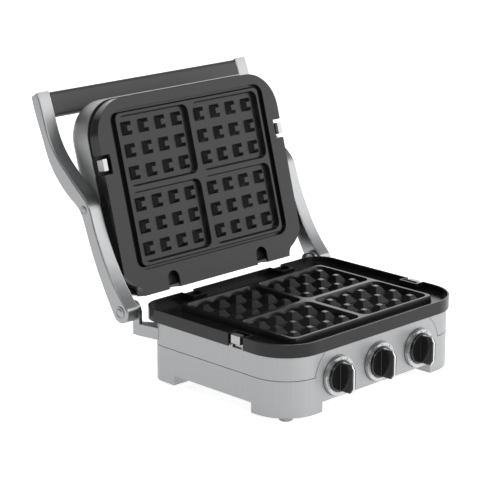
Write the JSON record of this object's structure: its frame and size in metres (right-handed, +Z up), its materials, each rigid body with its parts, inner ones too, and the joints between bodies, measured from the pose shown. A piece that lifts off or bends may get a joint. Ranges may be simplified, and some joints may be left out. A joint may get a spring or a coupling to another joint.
{
  "type": "waffle maker",
  "caption": "Countertop waffle maker with an open floating lid, two removable waffle plates, side arms, a cross grip and front control knobs.",
  "frame": {"origin": "on the table under the middle of the lower waffle field", "axes": "+X to the user's right, -Y towards the user and the knobs, +Z up"},
  "size_m": [0.3452, 0.4219, 0.3191],
  "materials": {
    "silver_paint": "satin metallic",
    "arm_metal": "fine brushed",
    "nonstick_black": "satin non-stick",
    "bright_steel": "bright",
    "dark_steel": "dull",
    "button_metal": "satin bright",
    "dome_chrome": "polished",
    "bezel_metal": "satin",
    "knob_black": "gloss",
    "inlay_chrome": "polished",
    "grip_black": "soft matte",
    "foot_rubber": "matt",
    "inner_plastic": "matt",
    "tray_plastic": "matt",
    "reflector_aluminium": "bright sheet",
    "frame_black": "matt"
  },
  "bodies": {
    "base": {"lower_housing": "silver_paint", "upper_housing": "silver_paint", "rubber_feet": "foot_rubber", "bottom_cover": "dark_steel", "bottom_screws": "bright_steel", "cord_gland": "inner_plastic", "lower_heating_element": "dark_steel", "lower_reflector": "reflector_aluminium", "lower_plate_hooks": "dark_steel", "bezel_left": "bezel_metal", "bezel_centre": "bezel_metal", "bezel_right": "bezel_metal", "thermostat_left": "inner_plastic", "selector_switch": "inner_plastic", "thermostat_right": "inner_plastic", "hinge_bracket_left": "arm_metal", "hinge_bracket_right": "arm_metal", "hinge_pin_left": "bright_steel", "hinge_pin_right": "bright_steel", "lower_spring_left": "bright_steel", "lower_spring_right": "bright_steel"},
    "lower_plate": {"lower_plate": "nonstick_black"},
    "drip_tray": {"drip_tray": "tray_plastic"},
    "knob_left": {"knob_left": "knob_black", "inlay_left": "inlay_chrome", "spindle_left": "bright_steel"},
    "knob_centre": {"knob_centre": "knob_black", "inlay_centre": "inlay_chrome", "spindle_centre": "bright_steel"},
    "knob_right": {"knob_right": "knob_black", "inlay_right": "inlay_chrome", "spindle_right": "bright_steel"},
    "handle": {"arm_left": "arm_metal", "arm_right": "arm_metal", "handle_grip": "grip_black", "grip_rod": "bright_steel", "hinge_caps": "arm_metal", "elbow_caps": "arm_metal"},
    "lid": {"cover_shell": "silver_paint", "lid_frame": "frame_black", "elbow_pins": "bright_steel", "upper_heating_element": "dark_steel", "upper_reflector": "reflector_aluminium", "upper_thermostat": "inner_plastic", "upper_plate_hooks": "dark_steel", "upper_spring_left": "bright_steel", "upper_spring_right": "bright_steel"},
    "upper_plate": {"upper_plate": "nonstick_black"},
    "lower_button_left": {"lower_button_left": "button_metal"},
    "lower_button_right": {"lower_button_right": "button_metal"},
    "upper_button_left": {"upper_button_left": "button_metal"},
    "upper_button_right": {"upper_button_right": "button_metal"},
    "hinge_release": {"hinge_release_button": "dome_chrome"}
  },
  "joints": [
    {"name": "lid_hinge", "type": "hinge", "parent": "base", "child": "handle", "pos_m": [0, 0.134, 0.082], "axis": [1, 0, 0], "range_deg": [-72, 105]},
    {"name": "lid_float", "type": "hinge", "parent": "handle", "child": "lid", "pos_m": [0, 0.19504, 0.19236], "axis": [1, 0, 0], "range_deg": [-5, 0]},
    {"name": "upper_plate_removal", "type": "slide", "parent": "lid", "child": "upper_plate", "axis": [0, 0.9659, -0.2588], "range_m": [-0.06, 0]},
    {"name": "lower_plate_removal", "type": "slide", "parent": "base", "child": "lower_plate", "axis": [0, 0, -1], "range_m": [-0.06, 0]},
    {"name": "drip_tray_slide", "type": "slide", "parent": "base", "child": "drip_tray", "axis": [0, 1, 0], "range_m": [0, 0.08]},
    {"name": "knob_left_turn", "type": "hinge", "parent": "base", "child": "knob_left", "pos_m": [-0.068, -0.1175, 0.042], "axis": [0, -1, 0], "range_deg": [-130, 130]},
    {"name": "knob_centre_turn", "type": "hinge", "parent": "base", "child": "knob_centre", "pos_m": [0, -0.1175, 0.042], "axis": [0, -1, 0], "range_deg": [-45, 45]},
    {"name": "knob_right_turn", "type": "hinge", "parent": "base", "child": "knob_right", "pos_m": [0.068, -0.1175, 0.042], "axis": [0, -1, 0], "range_deg": [-130, 130]},
    {"name": "lower_button_left", "type": "slide", "parent": "base", "child": "lower_button_left", "axis": [-1, 0, 0], "range_m": [-0.003, 0], "stiffness_N_per_m": 400, "springref_m": 0.002, "deforming": ["lower_spring_left"]},
    {"name": "lower_button_right", "type": "slide", "parent": "base", "child": "lower_button_right", "axis": [1, 0, 0], "range_m": [-0.003, 0], "stiffness_N_per_m": 400, "springref_m": 0.002, "deforming": ["lower_spring_right"]},
    {"name": "upper_button_left", "type": "slide", "parent": "lid", "child": "upper_button_left", "axis": [-1, 0, 0], "range_m": [-0.003, 0], "stiffness_N_per_m": 400, "springref_m": 0.002, "deforming": ["upper_spring_left"]},
    {"name": "upper_button_right", "type": "slide", "parent": "lid", "child": "upper_button_right", "axis": [1, 0, 0], "range_m": [-0.003, 0], "stiffness_N_per_m": 400, "springref_m": 0.002, "deforming": ["upper_spring_right"]},
    {"name": "hinge_release_press", "type": "slide", "parent": "base", "child": "hinge_release", "axis": [1, 0, 0], "range_m": [0, 0.0025], "stiffness_N_per_m": 500, "springref_m": -0.002}
  ]
}
